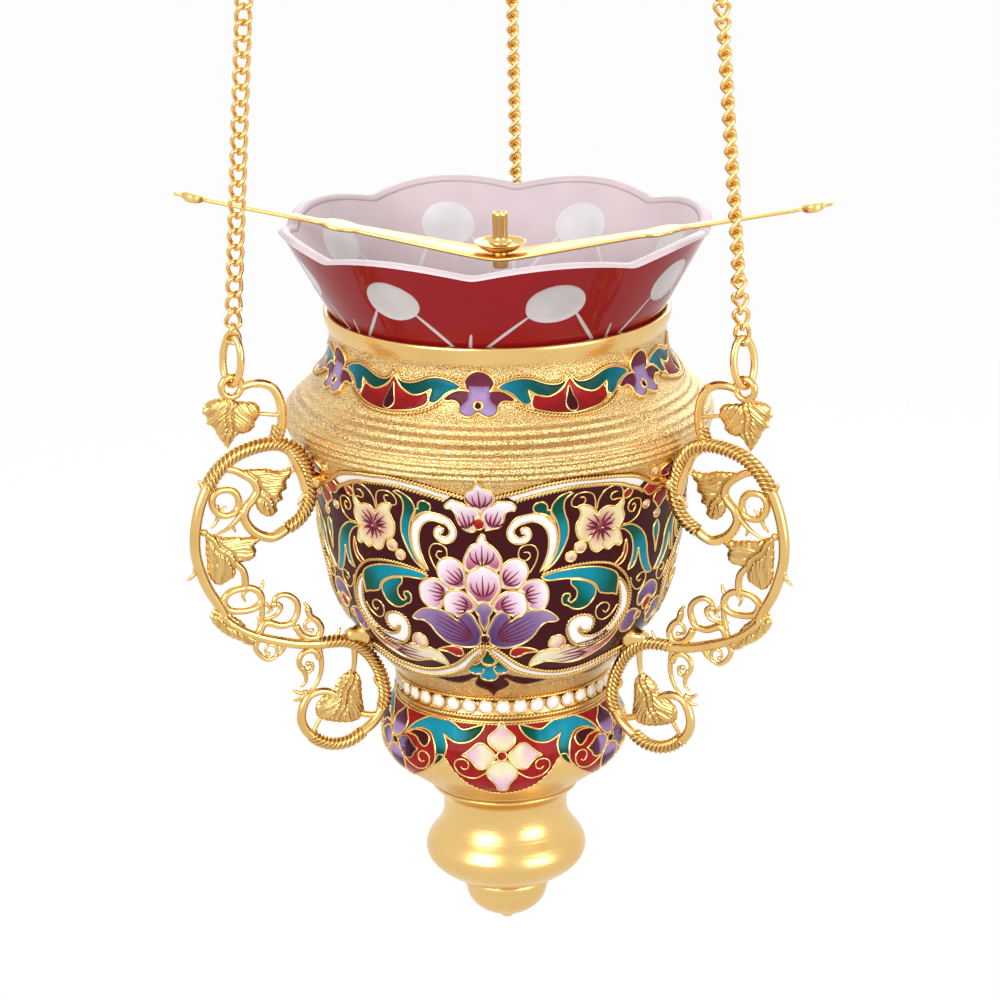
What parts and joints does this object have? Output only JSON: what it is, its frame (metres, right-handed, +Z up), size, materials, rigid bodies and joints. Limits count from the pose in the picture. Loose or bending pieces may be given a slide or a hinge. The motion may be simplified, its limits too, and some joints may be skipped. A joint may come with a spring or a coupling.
{
  "type": "vigil lamp",
  "caption": "Hanging vigil lamp: gilt and enamelled brass urn with cast vine handles, red scalloped glass cup, bar wick holder and curb chains on ceiling hooks.",
  "frame": {"origin": "in the ceiling plane, on the lamp's own axis, amid the hooks", "axes": "+Z up along the lamp's axis, +X to the right and -Y to the front as seen in the picture, which looks 4.5 degrees from the side of +X"},
  "size_m": [0.1438, 0.1204, 0.2478],
  "materials": {
    "gilt_brass": "gilded and polished, darker in the hollows",
    "satin_brass": "gilded, satin turned surface",
    "enamelled_brass": "gilded brass with wire-divided enamel in dark maroon, red, teal, lilac and cream",
    "plain_brass": "ungilded, dull",
    "red_glass": "red over frosted clear glass, polished, cut with round lenses and rays"
  },
  "bodies": {
    "ceiling": {"ceiling_hook_left": "plain_brass", "ceiling_hook_right": "plain_brass", "ceiling_hook_back": "plain_brass"},
    "ring_top_left": {"top_ring_left": "gilt_brass"},
    "hanging_chain_left": {"chain_left": "gilt_brass"},
    "ring_low_left": {"lower_ring_left": "gilt_brass"},
    "ring_top_right": {"top_ring_right": "gilt_brass"},
    "hanging_chain_right": {"chain_right": "gilt_brass"},
    "ring_low_right": {"lower_ring_right": "gilt_brass"},
    "ring_top_back": {"top_ring_back": "gilt_brass"},
    "hanging_chain_back": {"chain_back": "gilt_brass"},
    "ring_low_back": {"lower_ring_back": "gilt_brass"},
    "lamp": {"body_shell": "enamelled_brass", "pearl_band": "gilt_brass", "lower_bulb": "enamelled_brass", "finial_knob": "satin_brass", "finial_cap": "satin_brass", "tie_rod": "plain_brass", "rod_washer": "plain_brass", "rod_nut": "plain_brass", "handle_left": "gilt_brass", "handle_right": "gilt_brass", "handle_back": "gilt_brass", "upper_spacer_left": "gilt_brass", "upper_spacer_right": "gilt_brass", "upper_spacer_back": "gilt_brass", "lower_spacer_left": "gilt_brass", "lower_spacer_right": "gilt_brass", "lower_spacer_back": "gilt_brass", "handle_nut_upper_left": "plain_brass", "handle_nut_upper_right": "plain_brass", "handle_nut_upper_back": "plain_brass", "handle_nut_lower_left": "plain_brass", "handle_nut_lower_right": "plain_brass", "handle_nut_lower_back": "plain_brass"},
    "glass": {"glass_cup": "red_glass"},
    "wick_holder": {"wick_strip": "gilt_brass", "wick_dish": "gilt_brass", "wick_tube": "gilt_brass"}
  },
  "joints": [
    {"name": "swing_front_back", "type": "hinge", "parent": "ceiling", "child": "ring_top_back", "pos_m": [0, 0.05595, -0.0109], "axis": [1, 0, 0], "range_deg": [-5, 5]},
    {"name": "swing_side", "type": "hinge", "parent": "ring_top_back", "child": "hanging_chain_back", "pos_m": [0, 0.05627, -0.01504], "axis": [0, 1, 0], "range_deg": [-5, 5]},
    {"name": "ring_turn_back", "type": "hinge", "parent": "hanging_chain_back", "child": "ring_low_back", "pos_m": [0, 0.06193, -0.09037], "axis": [0, 1, 0], "range_deg": [-5, 5]},
    {"name": "top_turn_left", "type": "hinge", "parent": "ceiling", "child": "ring_top_left", "pos_m": [-0.04846, -0.02798, -0.0109], "axis": [1, 0, 0], "range_deg": [-5, 5]},
    {"name": "chain_turn_left", "type": "hinge", "parent": "ring_top_left", "child": "hanging_chain_left", "pos_m": [-0.04873, -0.02813, -0.01504], "axis": [0, 1, 0], "range_deg": [-5, 5]},
    {"name": "ring_turn_left", "type": "hinge", "parent": "hanging_chain_left", "child": "ring_low_left", "pos_m": [-0.05363, -0.03096, -0.09037], "axis": [0, 1, 0], "range_deg": [-5, 5]},
    {"name": "top_turn_right", "type": "hinge", "parent": "ceiling", "child": "ring_top_right", "pos_m": [0.04846, -0.02798, -0.0109], "axis": [1, 0, 0], "range_deg": [-5, 5]},
    {"name": "chain_turn_right", "type": "hinge", "parent": "ring_top_right", "child": "hanging_chain_right", "pos_m": [0.04873, -0.02813, -0.01504], "axis": [0, 1, 0], "range_deg": [-5, 5]},
    {"name": "ring_turn_right", "type": "hinge", "parent": "hanging_chain_right", "child": "ring_low_right", "pos_m": [0.05363, -0.03096, -0.09037], "axis": [0, 1, 0], "range_deg": [-5, 5]},
    {"name": "lamp_level", "type": "hinge", "parent": "ring_low_back", "child": "lamp", "pos_m": [0, 0.06272, -0.10084], "axis": [1, 0, 0], "range_deg": [-5, 5]},
    {"name": "glass_lift", "type": "slide", "parent": "lamp", "child": "glass", "axis": [0, 0, 1], "range_m": [0, 0.038]},
    {"name": "wick_lift", "type": "slide", "parent": "glass", "child": "wick_holder", "axis": [0, 0, 1], "range_m": [0, 0.02]}
  ],
  "couplings": [
    {"joint": "ring_turn_back", "follows": "swing_side", "ratio": -0.9095},
    {"joint": "top_turn_left", "follows": "swing_front_back", "ratio": 1},
    {"joint": "chain_turn_left", "follows": "swing_side", "ratio": 1},
    {"joint": "ring_turn_left", "follows": "swing_side", "ratio": -0.9095},
    {"joint": "top_turn_right", "follows": "swing_front_back", "ratio": 1},
    {"joint": "chain_turn_right", "follows": "swing_side", "ratio": 1},
    {"joint": "ring_turn_right", "follows": "swing_side", "ratio": -0.9095},
    {"joint": "lamp_level", "follows": "swing_front_back", "ratio": -0.8922}
  ]
}
